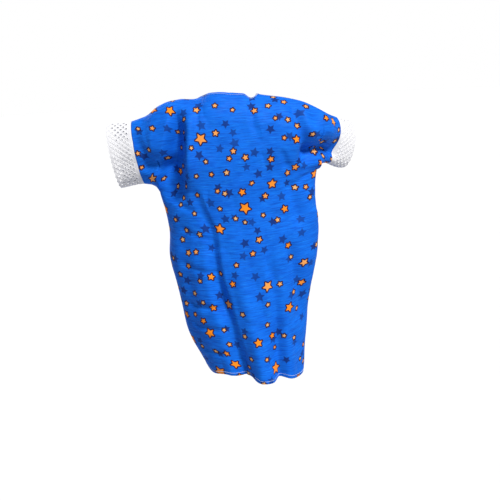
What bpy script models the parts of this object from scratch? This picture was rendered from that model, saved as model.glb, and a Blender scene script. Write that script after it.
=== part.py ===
"""Calf-length boxy kaftan dress with grown-on sleeves, worn shape, hollow.

Five cut pieces: a front and a back panel, each cut in one with its half of both sleeves, a lace cuff
on each sleeve and a narrow binding round the neck. Metres, +Z up, the front faces -Y, and the
wearer's left sleeve points to +X. The origin is midway between the two shoulders, at the height
where the shoulder seams meet the neck binding.

Every cloth surface is worked out by the same rule. The garment's outline lies near the plane Y = 0,
where the front and the back are sewn together, and a depth function swells each panel away from
that plane: it is nothing at the seams and full in the middle. Folds are then raised or sunk along
the cloth's own normal, and last the sleeves are swung forward as the arms hold them.
"""

import math

import bpy
import numpy as np

# Cloth
PANEL_WALL = 0.0015
LACE_WALL = 0.0012
SEAM_GAP = 0.0003

# Neck, an oval measured at the binding's free edge
NECK_CENTRE_X = 0.014
NECK_HALF_WIDTH = 0.104
NECK_DROP = {"back": 0.010, "front": 0.084}
# The back of the neck edge sags a little beside the nape, towards the right
NECK_SAG = {"x": -0.068, "half_width": 0.030, "depth": 0.011}
BINDING_WIDTH = 0.009

# Armhole lines, where the body part of a panel ends and its sleeve begins
ARMHOLE_X = {"left": 0.300, "right": -0.302}

# Sleeve ends, where the cuffs are sewn on, and the cuffs' free edges
SLEEVE_END_TOP_X = {"left": 0.385, "right": -0.430}
SLEEVE_END_UNDER_X = {"left": 0.354, "right": -0.376}
CUFF_WIDTH = 0.098

# Arms held out: how far each sleeve is swung forward, and the stretch over which it bends
SWING_DEG = {"left": 8.0, "right": 45.0}
SWING_START_X = 0.200
SWING_LENGTH = 0.150

# How quickly a panel reaches its full depth below the shoulder ridge
SHOULDER_ROUNDING = 0.120
# Between these distances from the middle the depth changes from the body's to the sleeve's
SLEEVE_BLEND_X = (0.150, 0.310)

# The shoulder and sleeve ridge from the right cuff to the left one; it arches over the open neck
RIDGE = {
    "x": (-0.520, -0.422, -0.350, -0.300, -0.255, -0.200, -0.090, -0.045, 0.014, 0.064,
          0.088, 0.106, 0.118, 0.200, 0.255, 0.290, 0.322, 0.352, 0.384, 0.484),
    "z": (-0.136, -0.110, -0.084, -0.060, -0.038, -0.022, 0.000, 0.013, 0.025, 0.026,
          0.021, 0.010, 0.002, -0.004, -0.014, -0.031, -0.055, -0.066, -0.075, -0.082),
}

# The underside of each sleeve, from the underarm corner out to the cuff's edge
UNDERARM = {
    "left": {"x": (0.300, 0.307, 0.321, 0.345, 0.450), "z": (-0.346, -0.332, -0.321, -0.315, -0.326)},
    "right": {"x": (-0.460, -0.372, -0.322, -0.309, -0.302), "z": (-0.316, -0.285, -0.284, -0.290, -0.300)},
}

# The side seams, from the hem up to the underarm corners
SIDE_SEAM = {
    "z": (-1.110, -1.070, -1.040, -1.000, -0.950, -0.900, -0.800,
          -0.700, -0.600, -0.500, -0.420, -0.346, -0.300),
    "left_x": (0.148, 0.165, 0.178, 0.196, 0.219, 0.235, 0.250,
               0.265, 0.282, 0.275, 0.284, 0.300, 0.302),
    "right_x": (-0.216, -0.221, -0.223, -0.226, -0.232, -0.238, -0.248,
                -0.266, -0.286, -0.294, -0.288, -0.292, -0.302),
}

# The hem, which hangs lower towards the right
HEM = {
    "x": (-0.216, -0.196, -0.155, -0.118, -0.088, -0.052, -0.024,
          -0.004, 0.016, 0.048, 0.086, 0.120, 0.148, 0.165),
    "back_z": (-1.106, -1.108, -1.098, -1.087, -1.093, -1.092, -1.088,
               -1.076, -1.072, -1.072, -1.066, -1.067, -1.069, -1.060),
    "front_z": (-1.106, -1.102, -1.092, -1.084, -1.080, -1.076, -1.074,
                -1.073, -1.072, -1.071, -1.070, -1.070, -1.068, -1.060),
}

# Depth of the body each way from the seam plane
BODY_DEPTH = {
    "z": (-1.090, -0.800, -0.600, -0.400, -0.250, -0.120, 0.030),
    "back": (0.138, 0.150, 0.148, 0.134, 0.128, 0.114, 0.098),
    "front": (0.128, 0.142, 0.150, 0.152, 0.142, 0.104, 0.086),
}

# Depth of the sleeves each way, from the armhole line out to the cuff's edge
SLEEVE_DEPTH = {
    "reach": (0.300, 0.340, 0.390, 0.490),
    "left_back": (0.086, 0.064, 0.052, 0.054),
    "left_front": (0.086, 0.066, 0.056, 0.058),
    "right_back": (0.092, 0.072, 0.048, 0.040),
    "right_front": (0.092, 0.092, 0.096, 0.100),
}

# Folds. Each runs down from (x0, z0) to (x1, z1) as seen from the front or the back, and bows
# sideways by bow. Width and depth go from the first value at the top to the second at the foot.
# A depth below zero is a trough. skew above zero makes the fold's +X flank the wider one, and
# open_end is True where the fold runs out over the hem.
FOLD_COLUMNS = ("x0", "z0", "x1", "z1", "bow", "width0", "width1", "depth0", "depth1", "skew", "open_end")
FOLDS = {
    "back": {
        "left_armhole_trough":
            (0.208, -0.044, 0.278, -0.345, -0.004, 0.034, 0.064, -0.046, -0.062, -0.35, False),
        "left_underarm_hollow":
            (0.350, -0.225, 0.250, -0.262, 0.000, 0.054, 0.064, -0.022, -0.024, -0.30, False),
        "left_blade_ridge":
            (0.154, -0.040, 0.184, -0.300, 0.000, 0.036, 0.044, 0.009, 0.016, 0.00, False),
        "right_armhole_trough":
            (-0.208, -0.030, -0.262, -0.275, -0.004, 0.024, 0.038, -0.011, -0.026, -0.20, False),
        "right_sleeve_trough":
            (-0.262, -0.060, -0.315, -0.280, -0.004, 0.030, 0.054, -0.012, -0.020, -0.20, False),
        "right_underarm_hollow":
            (-0.225, -0.236, -0.410, -0.258, 0.000, 0.066, 0.062, -0.034, -0.036, -0.45, False),
        "neck_trough":
            (-0.062, -0.008, -0.088, -0.170, 0.006, 0.026, 0.030, -0.006, -0.003, 0.00, False),
        "upper_long_trough":
            (0.106, -0.470, 0.074, -0.800, 0.010, 0.030, 0.036, -0.008, -0.019, 0.20, False),
        "lower_long_trough":
            (0.080, -0.700, 0.012, -1.070, 0.006, 0.036, 0.046, -0.010, -0.026, 0.30, True),
        "hem_flute":
            (0.024, -0.600, -0.052, -1.070, 0.000, 0.052, 0.062, 0.004, 0.034, -0.10, True),
        "right_hem_trough":
            (-0.110, -0.600, -0.118, -1.070, -0.006, 0.030, 0.032, -0.003, -0.014, 0.00, True),
        "right_hem_flute":
            (-0.150, -0.660, -0.156, -1.070, 0.000, 0.038, 0.040, 0.003, 0.012, 0.00, True),
        "upper_right_side_trough":
            (-0.178, -0.300, -0.226, -0.500, -0.004, 0.030, 0.034, -0.010, -0.012, 0.00, False),
        "lower_right_side_trough":
            (-0.176, -0.530, -0.220, -0.900, -0.006, 0.030, 0.034, -0.008, -0.011, 0.00, False),
        "left_side_trough":
            (0.214, -0.420, 0.186, -0.960, 0.010, 0.034, 0.036, -0.004, -0.008, 0.00, False),
    },
    "front": {
        "left_armhole_trough":
            (0.184, -0.040, 0.268, -0.320, -0.004, 0.030, 0.050, -0.012, -0.032, 0.25, False),
        "right_armhole_trough":
            (-0.196, -0.040, -0.262, -0.285, -0.004, 0.028, 0.046, -0.011, -0.028, -0.25, False),
        "right_sleeve_trough":
            (-0.258, -0.070, -0.300, -0.240, 0.000, 0.024, 0.034, -0.006, -0.014, 0.00, False),
        "left_long_trough":
            (0.126, -0.330, 0.088, -1.070, 0.014, 0.040, 0.052, -0.005, -0.020, 0.00, True),
        "middle_flute":
            (0.020, -0.480, 0.022, -1.070, 0.004, 0.054, 0.064, 0.003, 0.022, 0.00, True),
        "right_long_trough":
            (-0.088, -0.340, -0.052, -1.070, -0.012, 0.036, 0.046, -0.005, -0.020, 0.00, True),
        "right_flute":
            (-0.132, -0.500, -0.130, -1.070, 0.000, 0.046, 0.054, 0.003, 0.018, 0.00, True),
        "right_side_trough":
            (-0.205, -0.380, -0.204, -0.900, 0.006, 0.032, 0.038, -0.007, -0.010, 0.00, False),
        "left_side_trough":
            (0.216, -0.440, 0.196, -0.940, 0.006, 0.032, 0.036, -0.005, -0.009, 0.00, False),
    },
}

# How finely each stretch of cloth is divided
SHOULDER_COLUMNS = 9
NECK_COLUMNS = 12
YOKE_ROWS = 12
SKIRT_ROWS = 16
SLEEVE_COLUMNS = 4
CUFF_STEPS = 3

OUT = {"back": 1.0, "front": -1.0}
NECK_ANGLES = np.linspace(0, math.pi, NECK_COLUMNS + 1)


def curve(xs, ys, at):
    """A smooth curve through the points (xs, ys), read at the given places (cubic Hermite)."""
    xs, ys = np.asarray(xs, float), np.asarray(ys, float)
    at = np.clip(np.asarray(at, float), xs[0], xs[-1])
    slopes = np.gradient(ys, xs)
    i = np.clip(np.searchsorted(xs, at) - 1, 0, len(xs) - 2)
    step = xs[i + 1] - xs[i]
    t = (at - xs[i]) / step
    return (
        (1 + 2 * t) * (1 - t) ** 2 * ys[i]
        + t * (1 - t) ** 2 * step * slopes[i]
        + t**2 * (3 - 2 * t) * ys[i + 1]
        + t**2 * (t - 1) * step * slopes[i + 1]
    )


def smoothstep(low, high, value):
    t = np.clip((value - low) / (high - low), 0, 1)
    return t * t * (3 - 2 * t)


def mix(a, b, share):
    return a + (b - a) * share


def ridge_z(x):
    return curve(RIDGE["x"], RIDGE["z"], x)


def underarm_z(x):
    """Height of the sleeves' underside; inside the body it stays at the underarm corner."""
    left = curve(UNDERARM["left"]["x"], UNDERARM["left"]["z"], x)
    right = curve(UNDERARM["right"]["x"], UNDERARM["right"]["z"], x)
    return np.where(x > NECK_CENTRE_X, left, right)


def side_x(z, side):
    return curve(SIDE_SEAM["z"], SIDE_SEAM[side + "_x"], z)


def swell(share):
    """Square of a quarter circle's height; it goes on below zero, so its slope at the seam is right."""
    share = np.minimum(share, 1.0)
    return 2 * share - share**2


def depth_squared(x, z, panel):
    """Square of the panel's distance from the seam plane, before folds."""
    reach = np.abs(x)
    left = x > NECK_CENTRE_X
    corner_z = np.where(left, UNDERARM["left"]["z"][0], UNDERARM["right"]["z"][-1])
    corner_reach = np.where(left, ARMHOLE_X["left"], -ARMHOLE_X["right"])
    sleeve_half = (ridge_z(x) - underarm_z(x)) / 2

    to_sleeve = smoothstep(*SLEEVE_BLEND_X, reach)
    sleeve_depth = np.where(
        left,
        curve(SLEEVE_DEPTH["reach"], SLEEVE_DEPTH["left_" + panel], reach),
        curve(SLEEVE_DEPTH["reach"], SLEEVE_DEPTH["right_" + panel], reach),
    )
    below = smoothstep(0.0, -0.10, z - corner_z)
    body_depth = curve(BODY_DEPTH["z"], BODY_DEPTH[panel], z)
    depth = mix(body_depth, sleeve_depth, to_sleeve * (1 - below))

    rounding = mix(SHOULDER_ROUNDING, sleeve_half, smoothstep(0.20, 0.30, reach))
    from_ridge = (ridge_z(x) - z) / rounding

    seam_reach = np.where(left, side_x(z, "left"), -side_x(z, "right"))
    seam_reach = np.where(z > corner_z, corner_reach, seam_reach)
    half_width = (side_x(z, "left") - side_x(z, "right")) / 2
    sideways = (seam_reach - reach) / half_width
    upwards = (z - underarm_z(x)) / sleeve_half
    corner_distance = np.hypot(np.maximum(sideways, 0), np.maximum(upwards, 0))
    from_seam = np.where(
        reach > corner_reach,
        upwards,
        np.where(z > corner_z, corner_distance, sideways),
    )
    return depth**2 * swell(from_ridge) * swell(from_seam)


def fold_height(x, z, panel):
    """How far the panel's folds stand out of the plain surface, or sink into it."""
    total = np.zeros_like(x)
    for row in FOLDS[panel].values():
        fold = dict(zip(FOLD_COLUMNS, row))
        start = np.array((fold["x0"], fold["z0"]))
        along = np.array((fold["x1"], fold["z1"])) - start
        length = math.hypot(*along)
        along /= length
        dx, dz = x - start[0], z - start[1]
        share = (dx * along[0] + dz * along[1]) / length
        inside = np.clip(share, 0, 1)
        # along points down, so this sideways distance is positive towards +X
        sideways = -dx * along[1] + dz * along[0] - fold["bow"] * 4 * inside * (1 - inside)
        width = mix(fold["width0"], fold["width1"], inside)
        width = width * (1 + fold["skew"] * np.sign(sideways))
        across = np.cos(np.clip(sideways / width, -1, 1) * math.pi / 2) ** 2
        start_fade = smoothstep(-0.10, 0.18, share)
        end_fade = 1.0 if fold["open_end"] else smoothstep(1.12, 0.80, share)
        total += mix(fold["depth0"], fold["depth1"], inside) * across * start_fade * end_fade
    return total


def swing(points):
    """Bends the sleeves forward about the vertical, as the raised arms point."""
    x, y = points[:, 0], points[:, 1]
    steps = 24
    for side, sign in (("left", 1.0), ("right", -1.0)):
        beyond = np.maximum(sign * x - SWING_START_X, 0)
        angle = math.radians(SWING_DEG[side])
        out, forward = np.zeros_like(x), np.zeros_like(x)
        for i in range(steps):
            turned = angle * smoothstep(0, SWING_LENGTH, beyond * (i + 0.5) / steps)
            out += np.cos(turned) * beyond / steps
            forward += np.sin(turned) * beyond / steps
        turned = angle * smoothstep(0, SWING_LENGTH, beyond)
        moved = beyond > 0
        new_x = sign * (SWING_START_X + out + y * np.sin(turned))
        new_y = -forward + y * np.cos(turned)
        x, y = np.where(moved, new_x, x), np.where(moved, new_y, y)
    return np.column_stack((x, y, points[:, 2]))


def cloth(x, z, panel, gap=0.0):
    """Points of the panel over places (x, z) of the outline, half of gap away from the seam plane."""
    x, z = np.asarray(x, float), np.asarray(z, float)
    step = 0.002
    squared = depth_squared(x, z, panel)
    across = (depth_squared(x + step, z, panel) - depth_squared(x - step, z, panel)) / (4 * step)
    upright = (depth_squared(x, z + step, panel) - depth_squared(x, z - step, panel)) / (4 * step)
    depth = np.sqrt(np.maximum(squared, 0))
    normal = np.column_stack((-across, depth, -upright))
    normal /= np.maximum(np.linalg.norm(normal, axis=1), 1e-9)[:, None]
    # the folds die away towards the seams, so both panels keep meeting there
    height = fold_height(x, z, panel) * smoothstep(0.0, 0.06, depth)
    points = np.column_stack((x, depth, z)) + normal * height[:, None]
    points[:, 1] = OUT[panel] * np.maximum(points[:, 1], gap / 2)
    return swing(points)


def neck_edge(angle, margin, panel):
    """A place (x, z) on the neck oval widened by margin: angle 0 is at the left shoulder."""
    x = NECK_CENTRE_X + (NECK_HALF_WIDTH + margin) * np.cos(angle)
    drop = (NECK_DROP[panel] + margin) * np.sin(angle) ** 2
    if panel == "back":
        from_sag = np.clip((x - NECK_SAG["x"]) / NECK_SAG["half_width"], -1, 1)
        drop = drop + NECK_SAG["depth"] * np.cos(from_sag * math.pi / 2) ** 2
    return x, ridge_z(x) - drop


def body_places(panel):
    """Rows of places (x, z) over the body, from the neck and shoulders down to the hem."""
    margin = BINDING_WIDTH + SEAM_GAP
    middle = (ARMHOLE_X["left"] + ARMHOLE_X["right"]) / 2
    half = (ARMHOLE_X["left"] - ARMHOLE_X["right"]) / 2
    neck_x, neck_z = neck_edge(NECK_ANGLES, margin, panel)
    to_neck = math.acos((neck_x[0] - middle) / half)
    from_neck = math.acos((neck_x[-1] - middle) / half)
    left_x = middle + half * np.cos(np.linspace(0, to_neck, SHOULDER_COLUMNS + 1)[:-1])
    right_x = middle + half * np.cos(np.linspace(from_neck, math.pi, SHOULDER_COLUMNS + 1)[1:])
    top_x = np.concatenate((left_x, neck_x, right_x))
    top_z = np.concatenate((ridge_z(left_x), neck_z, ridge_z(right_x)))
    column = (top_x - middle) / half
    corner_z = mix(UNDERARM["right"]["z"][-1], UNDERARM["left"]["z"][0], (column + 1) / 2)

    rows = []
    for i in range(YOKE_ROWS):
        share = i / YOKE_ROWS
        even = share**1.25
        rounded = (1 - math.cos(math.pi * share)) / 2
        down = mix(even, rounded, np.abs(column) ** 3)
        rows.append((top_x, mix(top_z, corner_z, down)))
    hem_left, hem_right = side_x(HEM["back_z"][-1], "left"), side_x(HEM["back_z"][0], "right")
    hem_x = mix(hem_right, hem_left, (column + 1) / 2)
    hem_z = curve(HEM["x"], HEM[panel + "_z"], hem_x)
    for i in range(SKIRT_ROWS + 1):
        z = mix(corner_z, hem_z, i / SKIRT_ROWS)
        rows.append((mix(side_x(z, "right"), side_x(z, "left"), (column + 1) / 2), z))
    return rows


def sleeve_places(side, first, last, columns):
    """Rows of places (x, z) over a sleeve from reach share first to last: 0 armhole line, 1 cuff seam."""
    rows = []
    for i in range(YOKE_ROWS + 1):
        down = (1 - math.cos(math.pi * i / YOKE_ROWS)) / 2
        share = np.linspace(first, last, columns + 1)
        top_x = mix(ARMHOLE_X[side], SLEEVE_END_TOP_X[side], share)
        under_x = mix(ARMHOLE_X[side], SLEEVE_END_UNDER_X[side], share)
        rows.append((mix(top_x, under_x, down), mix(ridge_z(top_x), underarm_z(under_x), down)))
    return rows


def grid_faces(rows, columns, first=0, flip=False):
    """Quads of a grid of rows x columns points, numbered row by row from first."""
    faces = []
    for r in range(rows - 1):
        for c in range(columns - 1):
            a = first + r * columns + c
            quad = (a, a + 1, a + columns + 1, a + columns)
            faces.append(quad[::-1] if flip else quad)
    return faces


def add_material(name, colour, roughness):
    material = bpy.data.materials.new(name)
    material.use_nodes = True
    shader = material.node_tree.nodes["Principled BSDF"]
    shader.inputs["Base Color"].default_value = (*colour, 1.0)
    shader.inputs["Roughness"].default_value = roughness
    shader.inputs["Metallic"].default_value = 0.0
    return material


def add_wall(name, points, faces, wall, material, collection, parent):
    """A cloth wall: the open surface, welded where its stretches meet, thickened outwards."""
    mesh = bpy.data.meshes.new(name)
    mesh.from_pydata([tuple(p) for p in points], [], faces)
    mesh.materials.append(material)
    mesh.shade_smooth()
    piece = bpy.data.objects.new(name, mesh)
    weld = piece.modifiers.new("Weld", "WELD")
    weld.merge_threshold = 0.0001
    solidify = piece.modifiers.new("Wall", "SOLIDIFY")
    solidify.thickness = wall
    solidify.offset = 1.0
    collection.objects.link(piece)
    piece.parent = parent
    return piece


def make_panel(panel, material, collection, parent):
    """One panel: the body and both half sleeves, cut in one."""
    points, faces = [], []
    facing_back = panel == "back"
    stretches = [(body_places(panel), facing_back)]
    for side in ("left", "right"):
        places = sleeve_places(side, 0.0, 1.0, SLEEVE_COLUMNS)
        stretches.append((places, facing_back == (side == "right")))
    for rows, flip in stretches:
        columns = len(rows[0][0])
        faces += grid_faces(len(rows), columns, sum(len(p) for p in points), flip)
        x = np.concatenate([row[0] for row in rows])
        z = np.concatenate([row[1] for row in rows])
        points.append(cloth(x, z, panel, SEAM_GAP))
    points = np.concatenate(points)
    return add_wall(panel + "_panel", points, faces, PANEL_WALL, material, collection, parent)


def ring_faces(rings, count, flip):
    """Quads between closed rings of count points each."""
    faces = []
    for r in range(rings - 1):
        for i in range(count):
            j = (i + 1) % count
            quad = (r * count + i, r * count + j, (r + 1) * count + j, (r + 1) * count + i)
            faces.append(quad[::-1] if flip else quad)
    return faces


def make_cuff(side, material, collection, parent):
    """The lace band on a sleeve end: rings round the sleeve, from its seam to its free edge."""
    seam_reach = abs(SLEEVE_END_TOP_X[side] - ARMHOLE_X[side])
    first = 1 + SEAM_GAP / seam_reach
    last = first + CUFF_WIDTH / seam_reach
    halves = {}
    for panel in OUT:
        rows = []
        for i in range(YOKE_ROWS + 1):
            down = (1 - math.cos(math.pi * i / YOKE_ROWS)) / 2
            share = np.linspace(first, last, CUFF_STEPS + 1)
            beyond = (share - 1) * seam_reach * math.copysign(1, ARMHOLE_X[side])
            top_x = SLEEVE_END_TOP_X[side] + beyond
            under_x = SLEEVE_END_UNDER_X[side] + beyond
            x = mix(top_x, under_x, down)
            rows.append(cloth(x, mix(ridge_z(top_x), underarm_z(under_x), down), panel))
        halves[panel] = rows
    # round the ring: down the back half, then up the front half, without doubling the seams
    ring = halves["back"] + halves["front"][-2:0:-1]
    points = np.concatenate([np.array([row[i] for row in ring]) for i in range(CUFF_STEPS + 1)])
    faces = ring_faces(CUFF_STEPS + 1, len(ring), side == "right")
    return add_wall("cuff_" + side, points, faces, LACE_WALL, material, collection, parent)


def make_binding(material, collection, parent):
    """The narrow binding that finishes the neck: one closed band, front and back."""
    rings = []
    for margin in (0.0, BINDING_WIDTH):
        for panel, angles in (("back", NECK_ANGLES), ("front", NECK_ANGLES[::-1])):
            x, z = neck_edge(angles, margin, panel)
            rings.append(cloth(x, z, panel)[:-1])
    faces = ring_faces(2, 2 * NECK_COLUMNS, False)
    return add_wall("neck_binding", np.concatenate(rings), faces, PANEL_WALL, material, collection, parent)


def main():
    for obj in list(bpy.data.objects):
        bpy.data.objects.remove(obj)
    collection = bpy.data.collections.new("wax_print_dress")
    bpy.context.scene.collection.children.link(collection)
    dress = bpy.data.objects.new("dress", None)
    collection.objects.link(dress)

    print_cotton = add_material("wax_print_cotton", (0.008, 0.130, 0.680), 0.65)
    lace = add_material("white_eyelet_lace", (0.860, 0.860, 0.880), 0.80)
    binding = add_material("binding_cotton", (0.010, 0.145, 0.640), 0.65)

    make_panel("back", print_cotton, collection, dress)
    make_panel("front", print_cotton, collection, dress)
    for side in ("left", "right"):
        make_cuff(side, lace, collection, dress)
    make_binding(binding, collection, dress)


main()
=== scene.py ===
"""Looks of the wax print kaftan dress: printed cotton panels, lace cuffs, binding and stitches.

The cloth follows the same form as its solids: an outline near the plane of the seams, a depth that
swells each panel away from it, folds along the normal, and the sleeves swung forward. Here the
form is drawn finely, with its small creases, turned hem, seam allowances and lace eyelets.
"""

import math

import bmesh
import bpy
import numpy as np
from mathutils import Matrix, Vector


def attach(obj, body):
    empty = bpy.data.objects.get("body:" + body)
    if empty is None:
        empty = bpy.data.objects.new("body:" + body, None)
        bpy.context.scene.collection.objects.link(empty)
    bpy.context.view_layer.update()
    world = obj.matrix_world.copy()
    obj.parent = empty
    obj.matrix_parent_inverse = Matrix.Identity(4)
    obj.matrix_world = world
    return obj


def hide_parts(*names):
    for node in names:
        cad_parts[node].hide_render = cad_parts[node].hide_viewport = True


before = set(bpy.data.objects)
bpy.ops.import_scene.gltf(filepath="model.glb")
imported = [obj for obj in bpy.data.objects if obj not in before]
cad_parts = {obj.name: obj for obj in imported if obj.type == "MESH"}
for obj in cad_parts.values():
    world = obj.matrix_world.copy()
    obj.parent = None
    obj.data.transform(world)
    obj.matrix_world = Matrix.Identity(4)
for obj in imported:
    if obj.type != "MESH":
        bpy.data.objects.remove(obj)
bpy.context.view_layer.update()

# ---- Sizes, in metres ----

CLOTH = 0.0006
BAND_CLOTH = 0.0004
SEAM_GAP = 0.0003
HEM_STITCH = 0.011

# Each row's stitches: from one to the next, one's length and its radius
HEM_STITCHES = (0.0042, 0.0037, 0.0008)
NECK_STITCHES = (0.0040, 0.0034, 0.0006)
EDGE_STITCHES = (0.0030, 0.0028, 0.0008)

# How far two of the rows lie from the neck's free edge, and how far out
NECK_STITCH_LINE = (0.0070, 0.0012)
EDGE_STITCH_LINE = (0.0010, 0.0010)

# A stitch's sections: where along its length, and how large
STITCH_SECTIONS = ((-0.5, 0.35), (-0.38, 0.85), (0.0, 1.0), (0.38, 0.85), (0.5, 0.35))

# A seam allowance lies inside the cloth: how far out its free edge and its fold are, the gap that it
# keeps to the other panel's, and how far both rows lie beyond the seam on the cut cloth
ALLOWANCE_OUT = (-0.009, -0.0022)
ALLOWANCE_GAP = 0.0017
ALLOWANCE_CUT = (0.009, 0.002)

# The turned hem, from its fold to its inner edge: rise above the fold, and how far out
TURNED_HEM = ((-0.0004, -0.0006), (0.004, -0.0013), (0.013, -0.0013))
TURNED_HEM_CUT = (-0.001, -0.005, -0.014)

# How far from a hem or a seam the print is rubbed
HEM_WEAR = 0.006
SEAM_WEAR = 0.005

NECK_CENTRE_X = 0.014
NECK_HALF_WIDTH = 0.104
NECK_DROP = {"back": 0.010, "front": 0.084}
NECK_SAG = {"x": -0.068, "half_width": 0.030, "depth": 0.011}
BINDING_WIDTH = 0.009
BINDING_ROUND = 0.6
BINDING_ROW = 0.0015

# The binding's section, from its lower edge outside, over the neck edge and down inside: how far
# below the neck edge, and how far out
BINDING_PROFILE = (
    (0.0090, 0.0002), (0.0078, 0.0006), (0.0055, 0.0008), (0.0030, 0.0008),
    (0.0012, 0.0007), (0.0003, 0.0004), (0.0000, 0.0000), (0.0003, -0.0004),
    (0.0012, -0.0006), (0.0030, -0.0007), (0.0060, -0.0008), (0.0088, -0.0009),
)

ARMHOLE_X = {"left": 0.300, "right": -0.302}
SLEEVE_END_TOP_X = {"left": 0.385, "right": -0.430}
SLEEVE_END_UNDER_X = {"left": 0.354, "right": -0.376}
CUFF_WIDTH = 0.098

# The lace: rhombic cells in columns along the cuff, each with an eyelet. EYELET_HALF is half an
# eyelet's size, along the cuff and round it. EYELET_CORD has a row for each ring of the cord round an
# eyelet: how much larger than the eyelet it is, and how far it is lifted.
LACE_WALL = 0.0007
LACE_PITCH_ROUND = 0.0196
LACE_COLUMNS = 7
LACE_SIDE_STEPS = 4
LACE_HALF_CELL = 0.0108
LACE_HEADER = 0.0085
EYELET_HALF = (0.0040, 0.0030)
EYELET_CORD = ((0.0, 0.0), (0.0003, 0.0004), (0.0009, 0.0005), (0.0014, 0.0003), (0.0017, 0.0))
OFF_EYELETS = 0.010
SCALLOP_DEPTH = 0.0035
TUCK = 0.004

SWING_DEG = {"left": 8.0, "right": 45.0}
SWING_START_X = 0.200
SWING_LENGTH = 0.150
SHOULDER_ROUNDING = 0.120
SLEEVE_BLEND_X = (0.150, 0.310)
ROUNDING_BLEND_X = (0.200, 0.300)
BELOW_UNDERARM = 0.100

# How deep the surface must lie behind its seams for full folds and full wrinkles, the groove along a
# seam, as its depth and the reach of it, and the step over which slopes are measured
FULL_FOLDS = 0.060
FULL_WRINKLES = 0.050
SEAM_GROOVE = (0.0007, 0.0040)
SLOPE_STEP = 0.002

# The shoulder and sleeve ridge from the right cuff to the left one; it arches over the open neck
RIDGE = {
    "x": (-0.520, -0.422, -0.350, -0.300, -0.255, -0.200, -0.090, -0.045, 0.014, 0.064,
          0.088, 0.106, 0.118, 0.200, 0.255, 0.290, 0.322, 0.352, 0.384, 0.484),
    "z": (-0.136, -0.110, -0.084, -0.060, -0.038, -0.022, 0.000, 0.013, 0.025, 0.026,
          0.021, 0.010, 0.002, -0.004, -0.014, -0.031, -0.055, -0.066, -0.075, -0.082),
}
UNDERARM = {
    "left": {"x": (0.300, 0.307, 0.321, 0.345, 0.450), "z": (-0.346, -0.332, -0.321, -0.315, -0.326)},
    "right": {"x": (-0.460, -0.372, -0.322, -0.309, -0.302), "z": (-0.316, -0.285, -0.284, -0.290, -0.300)},
}
CORNER_Z = {"left": UNDERARM["left"]["z"][0], "right": UNDERARM["right"]["z"][-1]}
SIDE_SEAM = {
    "z": (-1.110, -1.070, -1.040, -1.000, -0.950, -0.900, -0.800,
          -0.700, -0.600, -0.500, -0.420, -0.346, -0.300),
    "left_x": (0.148, 0.165, 0.178, 0.196, 0.219, 0.235, 0.250,
               0.265, 0.282, 0.275, 0.284, 0.300, 0.302),
    "right_x": (-0.216, -0.221, -0.223, -0.226, -0.232, -0.238, -0.248,
                -0.266, -0.286, -0.294, -0.288, -0.292, -0.302),
}
HEM = {
    "x": (-0.216, -0.196, -0.155, -0.118, -0.088, -0.052, -0.024,
          -0.004, 0.016, 0.048, 0.086, 0.120, 0.148, 0.165),
    "back_z": (-1.106, -1.108, -1.098, -1.087, -1.093, -1.092, -1.088,
               -1.076, -1.072, -1.072, -1.066, -1.067, -1.069, -1.060),
    "front_z": (-1.106, -1.102, -1.092, -1.084, -1.080, -1.076, -1.074,
                -1.073, -1.072, -1.071, -1.070, -1.070, -1.068, -1.060),
}
BODY_DEPTH = {
    "z": (-1.090, -0.800, -0.600, -0.400, -0.250, -0.120, 0.030),
    "back": (0.138, 0.150, 0.148, 0.134, 0.128, 0.114, 0.098),
    "front": (0.128, 0.142, 0.150, 0.152, 0.142, 0.104, 0.086),
}
SLEEVE_DEPTH = {
    "reach": (0.300, 0.340, 0.390, 0.490),
    "left_back": (0.086, 0.064, 0.052, 0.054),
    "left_front": (0.086, 0.066, 0.056, 0.058),
    "right_back": (0.092, 0.072, 0.048, 0.040),
    "right_front": (0.092, 0.092, 0.096, 0.100),
}

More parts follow.
